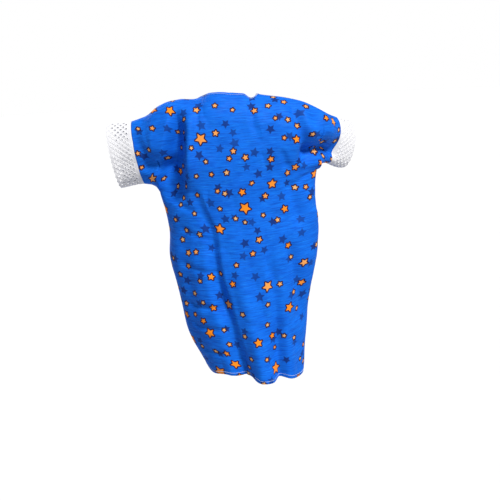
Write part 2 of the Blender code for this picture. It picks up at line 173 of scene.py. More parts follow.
# Folds and creases. Each runs from (x0, z0) to (x1, z1) and bows sideways by bow; width, depth and
# skew go from the first value to the second. A depth below zero is a trough. skew above zero widens
# the +X flank. plus_edge and minus_edge go from 0, where that flank eases out softly, to 1, where it
# ends in a clear ridge. open_end is 1 where the fold runs out at its far end without fading. What a
# row leaves out at its end is 0.
FOLD_COLUMNS = (
    "x0", "z0", "x1", "z1", "bow", "width0", "width1", "depth0", "depth1",
    "plus_edge", "minus_edge", "skew0", "skew1", "open_end",
)
FOLDS = {
    "back": (
        # from the shoulders to the armholes
        (0.208, -0.044, 0.278, -0.345, -0.004, 0.034, 0.066, -0.052, -0.076, 0.2, 0.7, -0.24, -0.46),
        (0.350, -0.225, 0.250, -0.262, 0, 0.054, 0.064, -0.024, -0.026, 0.3, 0.0, -0.30, -0.30),
        (0.154, -0.040, 0.184, -0.300, 0, 0.034, 0.044, 0.010, 0.018),
        (0.130, -0.030, 0.150, -0.190, 0, 0.012, 0.016, -0.004, -0.003, 0.6, 0.6),
        (0.292, -0.215, 0.296, -0.320, 0, 0.012, 0.016, -0.006, -0.010, 0.8, 0.4),
        (0.366, -0.120, 0.318, -0.215, 0.004, 0.026, 0.030, -0.004, -0.008, 0.2, 0.4),
        (-0.208, -0.030, -0.262, -0.275, -0.004, 0.020, 0.036, -0.012, -0.028, 1.0, 0.1, -0.30, -0.30),
        (-0.262, -0.060, -0.315, -0.280, -0.004, 0.026, 0.054, -0.014, -0.022, 1.0, 0.0, -0.20, -0.20),
        (-0.225, -0.236, -0.410, -0.258, 0, 0.068, 0.064, -0.044, -0.046, 0.3, 0.0, -0.45, -0.50),
        (-0.232, -0.060, -0.278, -0.200, 0, 0.016, 0.018, 0.004, 0.006),
        (-0.062, -0.008, -0.088, -0.170, 0.006, 0.017, 0.022, -0.007, -0.003, 0.9, 0.3, -0.20),
        # short pulls across the yoke and under the arms
        (0.060, -0.028, 0, -0.034, 0.002, 0.006, 0.006, -0.0016, -0.0012, 0.3, 0.3),
        (0.048, -0.046, -0.030, -0.050, -0.002, 0.007, 0.007, -0.0014, -0.0012, 0.3, 0.3),
        (-0.096, -0.205, -0.112, -0.262, 0.002, 0.010, 0.012, -0.003, -0.003, 0.5, 0.2),
        (-0.168, -0.200, -0.186, -0.275, 0, 0.016, 0.024, -0.006, -0.010, 0.8, 0.2),
        (0.268, -0.330, 0.200, -0.372, 0.004, 0.012, 0.016, -0.007, -0.003, 0.4, 0.4),
        (0.262, -0.352, 0.150, -0.420, 0.010, 0.016, 0.020, -0.007, -0.004, 0.3, 0.3),
        (-0.272, -0.300, -0.190, -0.352, 0.006, 0.012, 0.018, -0.006, -0.003, 0.4, 0.4),
        # the long troughs and flutes down to the hem
        (0.162, -0.330, 0.104, -0.500, 0.004, 0.028, 0.030, -0.010, -0.011, 0.1, 0.6, 0.20, 0.10),
        (0.108, -0.460, 0.076, -0.820, 0.010, 0.032, 0.040, -0.013, -0.028, 0.1, 0.7, 0.20, 0.20),
        (0.080, -0.700, 0.012, -1.070, 0.006, 0.036, 0.046, -0.012, -0.028, 0.1, 0.9, 0.30, 0.35, 1),
        (0.024, -0.600, -0.052, -1.070, 0, 0.050, 0.060, 0.004, 0.034, 0, 0, 0.00, -0.20, 1),
        (-0.100, -0.560, -0.118, -1.070, -0.006, 0.026, 0.030, -0.005, -0.018, 0.7, 0.3, 0, 0, 1),
        (-0.150, -0.660, -0.156, -1.070, 0, 0.036, 0.038, 0.003, 0.012, 0, 0, 0, 0, 1),
        (-0.178, -0.300, -0.226, -0.500, -0.004, 0.028, 0.032, -0.010, -0.012, 0.8, 0.2),
        (-0.176, -0.530, -0.220, -0.900, -0.006, 0.028, 0.032, -0.008, -0.011, 0.8, 0.2),
        # pulls that run across to the long trough
        (0.230, -0.470, 0.110, -0.520, 0.008, 0.018, 0.016, -0.004, -0.004, 0.3, 0.3),
        (0.240, -0.610, 0.092, -0.650, 0.008, 0.020, 0.018, -0.005, -0.005, 0.3, 0.4),
        (0.232, -0.770, 0.080, -0.785, 0.010, 0.020, 0.018, -0.006, -0.006, 0.3, 0.5),
        (0.214, -0.858, 0.060, -0.872, 0.008, 0.018, 0.018, -0.005, -0.006, 0.3, 0.5),
        (0.190, -0.950, 0.070, -0.985, 0.008, 0.020, 0.022, -0.004, -0.005, 0.2, 0.3),
        (0.214, -0.420, 0.186, -0.960, 0.010, 0.032, 0.034, -0.004, -0.008, 0.2, 0.4),
    ),
    "front": (
        (0.184, -0.040, 0.268, -0.320, -0.004, 0.026, 0.048, -0.012, -0.032, 0.2, 0.9, 0.45, 0.10),
        (0.130, -0.050, 0.158, -0.230, 0, 0.014, 0.020, -0.004, -0.005, 0.5, 0.5),
        (-0.196, -0.040, -0.262, -0.285, -0.004, 0.024, 0.044, -0.011, -0.028, 0.9, 0.2, -0.30, -0.20),
        (-0.258, -0.070, -0.300, -0.240, 0, 0.020, 0.032, -0.006, -0.014, 0.7, 0.2),
        (0.262, -0.340, 0.150, -0.400, 0.010, 0.016, 0.020, -0.007, -0.004, 0.3, 0.3),
        (-0.270, -0.300, -0.160, -0.380, -0.008, 0.014, 0.020, -0.007, -0.003, 0.4, 0.4),
        (0.126, -0.330, 0.088, -1.070, 0.014, 0.038, 0.050, -0.005, -0.020, 0.5, 0.2, 0.00, 0.10, 1),
        (0.020, -0.480, 0.022, -1.070, 0.004, 0.052, 0.062, 0.003, 0.022, 0, 0, 0, 0, 1),
        (-0.088, -0.340, -0.052, -1.070, -0.012, 0.034, 0.044, -0.005, -0.020, 0.2, 0.6, 0, 0, 1),
        (-0.132, -0.500, -0.130, -1.070, 0, 0.044, 0.052, 0.003, 0.018, 0, 0, 0, 0, 1),
        (-0.205, -0.380, -0.204, -0.900, 0.006, 0.030, 0.036, -0.007, -0.010, 0.6, 0.2),
        (0.216, -0.440, 0.196, -0.940, 0.006, 0.030, 0.034, -0.005, -0.009, 0.3, 0.5),
        (0.060, -0.110, 0.010, -0.160, 0.006, 0.012, 0.014, -0.003, -0.002, 0.3, 0.3),
        (-0.050, -0.120, -0.010, -0.170, -0.006, 0.012, 0.014, -0.003, -0.002, 0.3, 0.3),
        (0.226, -0.560, 0.110, -0.610, 0.008, 0.020, 0.018, -0.005, -0.005, 0.3, 0.4),
        (-0.236, -0.640, -0.090, -0.700, -0.008, 0.020, 0.018, -0.005, -0.005, 0.3, 0.4),
        (0.214, -0.800, 0.100, -0.835, 0.008, 0.020, 0.018, -0.005, -0.005, 0.3, 0.4),
        (-0.220, -0.860, -0.080, -0.900, -0.008, 0.020, 0.018, -0.004, -0.005, 0.3, 0.4),
    ),
}
# Over which shares of its length a fold comes up and runs out
FADE_IN = (-0.10, 0.22)
FADE_OUT = (1.14, 0.72)

OUT = {"back": 1.0, "front": -1.0}

# How finely the cloth is drawn
SHOULDER_COLUMNS = 44
NECK_COLUMNS = 48
YOKE_ROWS = 70
SKIRT_ROWS = 150
SLEEVE_COLUMNS = 20


# ---- The form of the cloth ----


def curve(xs, ys, at):
    """A smooth curve through the points (xs, ys), read at the given places (cubic Hermite)."""
    xs, ys = np.asarray(xs, float), np.asarray(ys, float)
    at = np.clip(np.asarray(at, float), xs[0], xs[-1])
    slopes = np.gradient(ys, xs)
    i = np.clip(np.searchsorted(xs, at) - 1, 0, len(xs) - 2)
    step = xs[i + 1] - xs[i]
    t = (at - xs[i]) / step
    return (
        (1 + 2 * t) * (1 - t) ** 2 * ys[i]
        + t * (1 - t) ** 2 * step * slopes[i]
        + t**2 * (3 - 2 * t) * ys[i + 1]
        + t**2 * (t - 1) * step * slopes[i + 1]
    )


def smoothstep(low, high, value):
    """0 below low, 1 above high, and smooth between them."""
    t = np.clip((value - low) / (high - low), 0, 1)
    return t * t * (3 - 2 * t)


def mix(a, b, share):
    """a at share 0, b at share 1."""
    return a + (b - a) * share


def ridge_z(x):
    """Height of the shoulder and sleeve ridge."""
    return curve(RIDGE["x"], RIDGE["z"], x)


def by_side(x, read):
    """What read tells of the left side where x is on the left, and of the right side elsewhere."""
    return np.where(x > NECK_CENTRE_X, read("left"), read("right"))


def underarm_z(x):
    """Height of the under seam of the sleeve on the side where x is."""
    return by_side(x, lambda side: curve(UNDERARM[side]["x"], UNDERARM[side]["z"], x))


def side_x(z, side):
    """Where a side seam is at a height."""
    return curve(SIDE_SEAM["z"], SIDE_SEAM[side + "_x"], z)


def swell(share):
    """Square of a quarter circle's height; it goes on below zero, so its slope at the seam is right."""
    share = np.minimum(share, 1.0)
    return 2 * share - share**2


def depth_squared(x, z, panel):
    """Square of the panel's distance from the seam plane, before folds."""
    reach = np.abs(x)
    corner_z = by_side(x, CORNER_Z.get)
    corner_reach = by_side(x, lambda side: abs(ARMHOLE_X[side]))
    sleeve_half = (ridge_z(x) - underarm_z(x)) / 2

    to_sleeve = smoothstep(*SLEEVE_BLEND_X, reach)
    reaches = SLEEVE_DEPTH["reach"]
    sleeve_depth = by_side(x, lambda side: curve(reaches, SLEEVE_DEPTH[side + "_" + panel], reach))
    below = smoothstep(0.0, -BELOW_UNDERARM, z - corner_z)
    body_depth = curve(BODY_DEPTH["z"], BODY_DEPTH[panel], z)
    depth = mix(body_depth, sleeve_depth, to_sleeve * (1 - below))

    rounding = mix(SHOULDER_ROUNDING, sleeve_half, smoothstep(*ROUNDING_BLEND_X, reach))
    from_ridge = (ridge_z(x) - z) / rounding

    seam_reach = by_side(x, lambda side: np.abs(side_x(z, side)))
    seam_reach = np.where(z > corner_z, corner_reach, seam_reach)
    half_width = (side_x(z, "left") - side_x(z, "right")) / 2
    sideways = (seam_reach - reach) / half_width
    upwards = (z - underarm_z(x)) / sleeve_half
    corner_distance = np.hypot(np.maximum(sideways, 0), np.maximum(upwards, 0))
    from_seam = np.where(
        reach > corner_reach,
        upwards,
        np.where(z > corner_z, corner_distance, sideways),
    )
    return depth**2 * swell(from_ridge) * swell(from_seam)


def fold_height(x, z, panel):
    """How far the panel's folds stand out of the plain surface, or sink into it."""
    total = np.zeros_like(x)
    for row in FOLDS[panel]:
        fold = dict.fromkeys(FOLD_COLUMNS, 0.0) | dict(zip(FOLD_COLUMNS, row))
        start = np.array((fold["x0"], fold["z0"]))
        along = np.array((fold["x1"], fold["z1"])) - start
        length = math.hypot(*along)
        along /= length
        dx, dz = x - start[0], z - start[1]
        share = (dx * along[0] + dz * along[1]) / length
        inside = np.clip(share, 0, 1)
        sideways = -dx * along[1] + dz * along[0] - fold["bow"] * 4 * inside * (1 - inside)
        plus = sideways > 0
        width = mix(fold["width0"], fold["width1"], inside)
        width = width * (1 + mix(fold["skew0"], fold["skew1"], inside) * np.where(plus, 1, -1))
        away = np.clip(np.abs(sideways / width), 0, 1)
        soft = (1 - away) ** 2 * (1 + 2 * away)
        ridged = (1 - away) * (1 + 0.65 * away)
        across = mix(soft, ridged, np.where(plus, fold["plus_edge"], fold["minus_edge"]))
        start_fade = smoothstep(*FADE_IN, share)
        end_fade = 1.0 if fold["open_end"] else smoothstep(*FADE_OUT, share)
        total += mix(fold["depth0"], fold["depth1"], inside) * across * start_fade * end_fade
    return total


def value_noise(u, v, seed):
    """Smooth noise from -1 to 1 on a lattice of unit cells."""

    def corner(i, j):
        hashed = np.sin(i * 127.1 + j * 311.7 + seed * 74.7) * 43758.5453
        return (hashed - np.floor(hashed)) * 2 - 1

    iu, iv = np.floor(u), np.floor(v)
    su, sv = smoothstep(0, 1, u - iu), smoothstep(0, 1, v - iv)
    low = mix(corner(iu, iv), corner(iu + 1, iv), su)
    high = mix(corner(iu, iv + 1), corner(iu + 1, iv + 1), su)
    return mix(low, high, sv)


def swing(points, normals):
    """Bends the sleeves forward about the vertical, as the raised arms point."""
    x, y = points[..., 0], points[..., 1]
    nx, ny = normals[..., 0], normals[..., 1]
    steps = 24
    for side, sign in (("left", 1.0), ("right", -1.0)):
        beyond = np.maximum(sign * x - SWING_START_X, 0)
        angle = math.radians(SWING_DEG[side])
        out, forward = np.zeros_like(x), np.zeros_like(x)
        for i in range(steps):
            turned = angle * smoothstep(0, SWING_LENGTH, beyond * (i + 0.5) / steps)
            out += np.cos(turned) * beyond / steps
            forward += np.sin(turned) * beyond / steps
        turned = angle * smoothstep(0, SWING_LENGTH, beyond)
        moved = beyond > 0
        new_x = sign * (SWING_START_X + out + y * np.sin(turned))
        new_y = -forward + y * np.cos(turned)
        new_nx = nx * np.cos(turned) + sign * ny * np.sin(turned)
        new_ny = ny * np.cos(turned) - sign * nx * np.sin(turned)
        x, y = np.where(moved, new_x, x), np.where(moved, new_y, y)
        nx, ny = np.where(moved, new_nx, nx), np.where(moved, new_ny, ny)
    return np.stack((x, y, points[..., 2]), -1), np.stack((nx, ny, normals[..., 2]), -1)


def small_wrinkles(x, z):
    """Shallow unevenness of worn cotton: long soft waves and finer ones lying mostly level."""
    long_waves = value_noise(x * 9.0, z * 6.0, 3.0) * 0.0026
    soft = value_noise(x * 22.0 + z * 5.0, z * 17.0, 5.0) * 0.0014
    creased = np.abs(value_noise(x * 13.0 - z * 3.0, z * 9.0 + x * 4.0, 11.0))
    crumpled = np.abs(value_noise(x * 27.0 + z * 8.0, z * 21.0, 14.0))
    level = value_noise(x * 16.0, z * 60.0, 8.0) * 0.0005
    sharp = 0.0042 * np.sqrt(creased + 0.01) + 0.0018 * np.sqrt(crumpled + 0.01)
    return long_waves + soft + level + sharp - 0.0030


def cloth(x, z, panel, out=0.0, gap=SEAM_GAP, folded=True):
    """Flat points, worn points and normals of a panel over places (x, z), lifted by out along its normal."""
    x, z = np.broadcast_arrays(np.asarray(x, float), np.asarray(z, float))
    step = SLOPE_STEP
    squared = depth_squared(x, z, panel)
    across = (depth_squared(x + step, z, panel) - depth_squared(x - step, z, panel)) / (4 * step)
    upright = (depth_squared(x, z + step, panel) - depth_squared(x, z - step, panel)) / (4 * step)
    depth = np.sqrt(np.maximum(squared, 0))
    normal = np.stack((-across, depth, -upright), -1)
    normal /= np.maximum(np.linalg.norm(normal, axis=-1), 1e-9)[..., None]
    height = np.zeros_like(depth)
    if folded:
        height = fold_height(x, z, panel) * smoothstep(0.0, FULL_FOLDS, depth)
        height += small_wrinkles(x, z) * smoothstep(0.0, FULL_WRINKLES, depth)
    groove = SEAM_GROOVE[0] * np.clip(1 - depth / SEAM_GROOVE[1], 0, 1) ** 2
    lifted = height - groove + np.asarray(out, float)
    points = np.stack((x, depth, z), -1) + normal * lifted[..., None]
    points[..., 1] = OUT[panel] * np.maximum(points[..., 1], gap / 2)
    normal[..., 1] *= OUT[panel]
    worn, turned = swing(points, normal)
    return points, worn, turned


# ---- Meshes ----


def neck_edge(angle, margin, panel):
    """A place (x, z) on the neck oval widened by margin: angle 0 is at the left shoulder."""
    x = NECK_CENTRE_X + (NECK_HALF_WIDTH + margin) * np.cos(angle)
    drop = (NECK_DROP[panel] + margin) * np.sin(angle) ** 2
    if panel == "back":
        from_sag = np.clip((x - NECK_SAG["x"]) / NECK_SAG["half_width"], -1, 1)
        drop = drop + NECK_SAG["depth"] * np.cos(from_sag * math.pi / 2) ** 2
    return x, ridge_z(x) - drop


def body_places(panel):
    """Places (x, z) over the body, as grids of rows from the neck down to the hem."""
    margin = BINDING_WIDTH + SEAM_GAP
    middle = (ARMHOLE_X["left"] + ARMHOLE_X["right"]) / 2
    half = (ARMHOLE_X["left"] - ARMHOLE_X["right"]) / 2
    angles = np.linspace(0, math.pi, NECK_COLUMNS + 1)
    neck_x, neck_z = neck_edge(angles, margin, panel)
    to_neck = math.acos((neck_x[0] - middle) / half)
    from_neck = math.acos((neck_x[-1] - middle) / half)
    left_x = middle + half * np.cos(np.linspace(0, to_neck, SHOULDER_COLUMNS + 1)[:-1])
    right_x = middle + half * np.cos(np.linspace(from_neck, math.pi, SHOULDER_COLUMNS + 1)[1:])
    top_x = np.concatenate((left_x, neck_x, right_x))
    top_z = np.concatenate((ridge_z(left_x), neck_z, ridge_z(right_x)))
    column = (top_x - middle) / half
    corner_z = mix(CORNER_Z["right"], CORNER_Z["left"], (column + 1) / 2)
    rows_x, rows_z = [], []
    for i in range(YOKE_ROWS):
        share = i / YOKE_ROWS
        rounded = (1 - math.cos(math.pi * share)) / 2
        down = mix(share**1.25, rounded, np.abs(column) ** 3)
        rows_x.append(top_x)
        rows_z.append(mix(top_z, corner_z, down))
    hem_left, hem_right = side_x(HEM["back_z"][-1], "left"), side_x(HEM["back_z"][0], "right")
    hem_x = mix(hem_right, hem_left, (column + 1) / 2)
    hem_z = curve(HEM["x"], HEM[panel + "_z"], hem_x)
    for i in range(SKIRT_ROWS + 1):
        z = mix(corner_z, hem_z, i / SKIRT_ROWS)
        rows_x.append(mix(side_x(z, "right"), side_x(z, "left"), (column + 1) / 2))
        rows_z.append(z)
    return np.array(rows_x), np.array(rows_z)


def sleeve_places(side):
    """Places (x, z) over a sleeve, as grids of rows from the ridge down; columns run to the cuff."""
    share = np.linspace(0, 1, SLEEVE_COLUMNS + 1)
    top_x = mix(ARMHOLE_X[side], SLEEVE_END_TOP_X[side], share)
    under_x = mix(ARMHOLE_X[side], SLEEVE_END_UNDER_X[side], share)
    down = (1 - np.cos(math.pi * np.arange(YOKE_ROWS + 1) / YOKE_ROWS)) / 2
    x = mix(top_x[None], under_x[None], down[:, None])
    z = mix(ridge_z(top_x)[None], underarm_z(under_x)[None], down[:, None])
    return x, z


def quads_of(grid, inner_axis=-1):
    """The four corners of every cell of a grid, in turn."""
    return np.stack((grid[:-1, :-1], grid[:-1, 1:], grid[1:, 1:], grid[1:, :-1]), inner_axis)


def rows_of(values, count):
    """A grid with each value repeated along its row."""
    return np.repeat(np.array(values)[:, None], count, 1)


def as_piece(name, mesh, material, merge=None, wall=None):
    """The object of a mesh. Points closer than merge become one, and a wall thickens it outward."""
    if merge:
        work = bmesh.new()
        work.from_mesh(mesh)
        bmesh.ops.remove_doubles(work, verts=work.verts, dist=merge)
        work.to_mesh(mesh)
        work.free()
    mesh.shade_smooth()
    mesh.materials.append(material)
    piece = bpy.data.objects.new(name, mesh)
    bpy.context.scene.collection.objects.link(piece)
    if wall:
        solidify = piece.modifiers.new("Wall", "SOLIDIFY")
        solidify.thickness = wall
        solidify.offset = 1.0
    return piece


def chord(points, axis):
    """Cumulative distance between neighbours of a grid of points along one axis."""
    length = np.linalg.norm(np.diff(points, axis=axis), axis=-1)
    return np.insert(np.cumsum(length, axis=axis), 0, 0.0, axis=axis)


def blur(values, kept, down_cells, across_cells):
    """Spreads a grid of values over neighbouring cells, leaving out the cells that aren't kept."""

    def spread(count, cells):
        apart = np.arange(count)[:, None] - np.arange(count)[None]
        return np.exp(-0.5 * (apart / cells) ** 2)

    down, across = spread(values.shape[0], down_cells), spread(values.shape[1], across_cells)
    return (down @ (values * kept) @ across) / (down @ kept @ across)


def cut_places(panel):
    """Where each point of a panel's body and sleeves lies on the flat cloth it was cut from.

    Lengths are measured over the worn surface, across from the middle and down from the shoulder
    ridge. What the folds add is shared out over the cloth round them, so the print isn't sheared.
    """
    body_x, body_z = body_places(panel)
    skirt = len(body_x) - YOKE_ROWS - 1
    grids = []
    for side in ("left", "right"):
        x, z = sleeve_places(side)
        order = slice(None, 0, -1) if side == "left" else slice(1, None)
        grids.append([np.pad(g[:, order], ((0, skirt), (0, 0)), mode="edge") for g in (x, z)])
    x = np.concatenate((grids[0][0], body_x, grids[1][0]), axis=1)
    z = np.concatenate((grids[0][1], body_z, grids[1][1]), axis=1)
    kept = np.ones(x.shape)
    kept[YOKE_ROWS + 1 :, :SLEEVE_COLUMNS] = 0
    kept[YOKE_ROWS + 1 :, -SLEEVE_COLUMNS:] = 0
    middle = x.shape[1] // 2
    below_ridge = smoothstep(0.0, 0.10, ridge_z(x) - z)
    steps = np.linspace(0, 1, 41)[:, None]
    top_z = mix(ridge_z(x[:1]), z[:1], steps)

    def measured(folded):
        """Lengths over the worn surface: across from the middle, and down from the ridge."""
        points = cloth(x, z, panel, folded=folded)[0]
        level = points.copy()
        level[..., 2] = 0
        step = np.diff(level, axis=1)
        step[..., 1] *= (below_ridge[:, 1:] + below_ridge[:, :-1]) / 2
        across = np.pad(np.cumsum(np.linalg.norm(step, axis=-1), axis=1), ((0, 0), (1, 0)))
        above = chord(cloth(np.broadcast_to(x[:1], top_z.shape), top_z, panel, folded=folded)[0], 0)[-1]
        down = above[None] - ridge_z(x[:1]) + chord(points, 0)
        return across[:, middle][:, None] - across, -down

    plain, worn = measured(False), measured(True)
    u = plain[0] + blur(worn[0] - plain[0], kept, 16.0, 3.0)
    v = plain[1] + blur(worn[1] - plain[1], kept, 3.0, 16.0)
    cut = np.stack((u, v), -1)
    left = cut[: YOKE_ROWS + 1, SLEEVE_COLUMNS::-1]
    right = cut[: YOKE_ROWS + 1, -SLEEVE_COLUMNS - 1 :]
    return cut[:, SLEEVE_COLUMNS:-SLEEVE_COLUMNS], {"left": left, "right": right}


class Sheet:
    """A mesh made of grids of points that share their edges, with each point's place on the cut cloth."""

    def __init__(self, name):
        self.name = name
        self.points, self.cut, self.edge, self.faces = [], [], [], []
        self.count = 0

    def add(self, points, cut, edge, flip, closed=False):
        """A grid of rows x columns points. closed joins the last column to the first."""
        rows, columns = points.shape[:2]
        number = self.count + np.arange(rows * columns).reshape(rows, columns)
        if closed:
            number = np.concatenate((number, number[:, :1]), axis=1)
        quads = quads_of(number).reshape(-1, 4)
        self.faces.append(quads[:, ::-1] if flip else quads)
        self.points.append(points.reshape(-1, 3))
        self.cut.append(cut.reshape(-1, 2))
        self.edge.append(np.broadcast_to(edge, points.shape[:2]).reshape(-1))
        self.count += rows * columns

    def build(self, material, wall):
        """The object: grids joined along their shared edges, with a wall of the given thickness."""
        mesh = bpy.data.meshes.new(self.name)
        mesh.from_pydata(np.concatenate(self.points).tolist(), [], np.concatenate(self.faces).tolist())
        cut = mesh.attributes.new("cut", "FLOAT_VECTOR", "POINT")
        flat = np.pad(np.concatenate(self.cut), ((0, 0), (0, 1)))
        cut.data.foreach_set("vector", flat.astype(np.float32).ravel())
        edge = mesh.attributes.new("edge", "FLOAT", "POINT")
        edge.data.foreach_set("value", np.concatenate(self.edge).astype(np.float32))
        return as_piece(self.name, mesh, material, merge=1e-5, wall=wall)


def allowance(x, z, panel):
    """The two rows of a seam allowance, turned in at the places (x, z), from its free edge."""
    return [cloth(x, z, panel, out, ALLOWANCE_GAP)[1] for out in ALLOWANCE_OUT]


def rows_beyond(base, steps):
    """Rows of places on the cut cloth, each a step above the row base."""
    return np.stack([base + np.array((0.0, step)) for step in steps])


def make_panel(panel, material, print_start):
    """One panel with its turned hem and its seam allowances."""
    sheet = Sheet(panel + "_cloth")
    facing_back = panel == "back"
    shift = np.array(print_start)

    # the body, with the neck and shoulder allowances above it and the turned hem below
    x, z = body_places(panel)
    flat, worn, _ = cloth(x, z, panel)
    cut, sleeve_cut = cut_places(panel)
    cut = cut + shift
    above = allowance(x[0], z[0], panel)
    turned = [cloth(x[-1], z[-1] + rise, panel, out)[1] for rise, out in TURNED_HEM]
    cuts = (rows_beyond(cut[0], ALLOWANCE_CUT), cut, rows_beyond(cut[-1], TURNED_HEM_CUT))
    edge = np.exp(-np.abs(z - z[-1][None]) / HEM_WEAR) + np.exp(-np.abs(flat[..., 1]) / SEAM_WEAR)
    edge = np.pad(np.clip(edge, 0, 1), ((2, 3), (0, 0)), constant_values=1.0)
    sheet.add(np.concatenate((above, worn, turned)), np.concatenate(cuts), edge, facing_back)

    # side seam allowances below the underarms
    for end, flip in ((0, not facing_back), (-1, facing_back)):
        inner = allowance(x[YOKE_ROWS:, end], z[YOKE_ROWS:, end], panel)
        strip = np.stack((worn[YOKE_ROWS:, end], inner[1], inner[0]), 1)
        away = 1 if end == 0 else -1
        inward = [np.array((away * step, 0)) for step in (0.0,) + ALLOWANCE_CUT[::-1]]
        strip_cut = np.stack([cut[YOKE_ROWS:, end] + step for step in inward], 1)
        sheet.add(strip, strip_cut, 1.0, flip)

    # both half sleeves, with their top and underarm allowances
    for side in ("left", "right"):
        x, z = sleeve_places(side)
        flat, worn, _ = cloth(x, z, panel)
        cut = sleeve_cut[side] + shift
        above, under = allowance(x[0], z[0], panel), allowance(x[-1], z[-1], panel)[::-1]
        below_cut = tuple(-step for step in ALLOWANCE_CUT[::-1])
        cuts = (rows_beyond(cut[0], ALLOWANCE_CUT), cut, rows_beyond(cut[-1], below_cut))
        edge = np.pad(np.exp(-np.abs(flat[..., 1]) / SEAM_WEAR), ((2, 2), (0, 0)), constant_values=1.0)
        facing = facing_back == (side == "right")
        sheet.add(np.concatenate((above, worn, under)), np.concatenate(cuts), edge, facing)
    return sheet.build(material, CLOTH)


class CuffForm:
    """The surface of a lace cuff. share goes round it once, first down the back; reach runs outward."""

    def __init__(self, side):
        self.side = side
        self.sign = math.copysign(1, ARMHOLE_X[side])
        down = (1 - np.cos(np.linspace(0, math.pi, 241))) / 2
        back = self.at_down(down, 0.5 * CUFF_WIDTH, "back", 0.0)[0]
        front = self.at_down(down[::-1], 0.5 * CUFF_WIDTH, "front", 0.0)[0]
        ring = np.concatenate((back, front[1:]))
        length = np.concatenate(((0,), np.cumsum(np.linalg.norm(np.diff(ring, axis=0), axis=1))))
        self.round = length[-1]
        self.share = length / length[-1]
        self.turn = np.concatenate((down, 2 - down[::-1][1:]))

    def at_down(self, down, reach, panel, out):
        """Worn points and normals on one panel's side, down from the top ridge to the under seam."""
        top_x = SLEEVE_END_TOP_X[self.side] + self.sign * reach
        under_x = SLEEVE_END_UNDER_X[self.side] + self.sign * reach
        x = mix(top_x, under_x, down)
        z = mix(ridge_z(top_x), underarm_z(under_x), down)
        _, worn, normal = cloth(x, z, panel, out, 0.0)
        return worn, normal

    def at(self, share, reach, out):
        """Worn points at shares round the cuff and reaches along it."""
        share, reach, out = np.broadcast_arrays(share % 1.0, reach, out)
        turn = np.interp(share, self.share, self.turn)
        down = np.where(turn > 1, 2 - turn, turn)
        back, _ = self.at_down(down, reach, "back", out)
        front, _ = self.at_down(down, reach, "front", out)
        return np.where((turn > 1)[..., None], front, back)


def make_cuff(side, material):
    """The lace band: a plain header, a lattice of corded eyelets and a scalloped free edge."""
    form = CuffForm(side)
    cells = round(form.round / LACE_PITCH_ROUND)
    pitch = 1.0 / cells
    half_round = form.round / cells / 2
    mesh_points, mesh_faces, eyelet = [], [], []
    count = 0

    def add_grid(share, reach, out, local):
        """A grid of points whose last column joins the first; local is where they lie at their eyelet."""
        nonlocal count
        points = form.at(share, reach, out)
        number = count + np.arange(points[..., 0].size).reshape(points.shape[:2])
        count += number.size
        number = np.concatenate((number, number[:, :1]), axis=1)
        local = np.concatenate((local, local[:, :1]), axis=1)
        quads, corners = quads_of(number), quads_of(local, -2)
        if side == "left":
            quads, corners = quads[..., ::-1], corners[..., ::-1, :]
        mesh_points.append(points.reshape(-1, 3))
        mesh_faces.append(quads.reshape(-1, 4))
        eyelet.append(corners.reshape(-1, 2))

    # one rhombic cell: its rim round the hole, then out to its four sides
    tips = np.array(((1, 0), (0, 1), (-1, 0), (0, -1), (1, 0)), float)
    sides = [mix(tips[i], tips[i + 1], k / LACE_SIDE_STEPS) for i in range(4) for k in range(LACE_SIDE_STEPS)]
    border = np.array(sides) * np.array((LACE_HALF_CELL, half_round))
    angle = np.arctan2(border[:, 1] / half_round, border[:, 0] / LACE_HALF_CELL)
    circle = np.stack((np.cos(angle), np.sin(angle)), -1)
    local = np.stack([circle * (np.array(EYELET_HALF) + grow) for grow, _ in EYELET_CORD] + [border])
    lift = rows_of([lift for _, lift in EYELET_CORD] + [0.0], len(border))
    for column in range(LACE_COLUMNS):
        reach = LACE_HEADER + LACE_HALF_CELL * (column + 1)
        for row in range(cells):
            share = pitch * (row + 0.5 * (column % 2))
            add_grid(share + local[..., 1] / form.round, reach + local[..., 0], lift, local)

    # header, from under the sleeve's edge to the first column's zigzag
    around = cells * 2 * LACE_SIDE_STEPS
    along = np.arange(around) * pitch / (2 * LACE_SIDE_STEPS)
    phase = (along / pitch) % 1.0

    def zigzag(phase):
        """How far the tips of the cells stand out beyond their sides, at each phase of the pitch."""
        return LACE_HALF_CELL * (1 - np.abs(1 - 2 * phase))

    def add_band(reach, outs):
        """A plain band of lace all round, from rows of reaches and how far out each row is."""
        away = np.stack((np.full(reach.shape, OFF_EYELETS), reach), -1)
        add_grid(np.repeat(along[None], len(reach), 0), reach, rows_of(outs, around), away)

    starts = (-TUCK, -TUCK / 2, 0.0, LACE_HEADER * 0.5, LACE_HEADER - 0.001)
    reach = np.concatenate((rows_of(starts, around), (LACE_HEADER + zigzag(phase))[None]))
    add_band(reach, (-0.0010, -0.0010, -0.0006, 0.0, 0.0, 0.0))

    # free edge: from the last column's zigzag to the scallops
    shifted = (phase + 0.5 * ((LACE_COLUMNS - 1) % 2)) % 1.0
    last_tips = LACE_HEADER + LACE_HALF_CELL * (LACE_COLUMNS + 1) - zigzag(shifted)
    scallop = CUFF_WIDTH - SCALLOP_DEPTH * np.abs(np.sin(math.pi * shifted)) ** 1.5
    reach = np.stack([mix(last_tips, scallop, share) for share in (0.0, 0.45, 0.85, 1.0)])
    add_band(reach, (0.0, 0.0001, 0.0005, 0.0002))

    mesh = bpy.data.meshes.new("lace_" + side)
    mesh.from_pydata(np.concatenate(mesh_points).tolist(), [], np.concatenate(mesh_faces).tolist())
    layer = mesh.uv_layers.new(name="eyelet")
    layer.data.foreach_set("uv", np.concatenate(eyelet).astype(np.float32).ravel())
    return as_piece("lace_cuff_" + side, mesh, material, merge=5e-5, wall=LACE_WALL), form


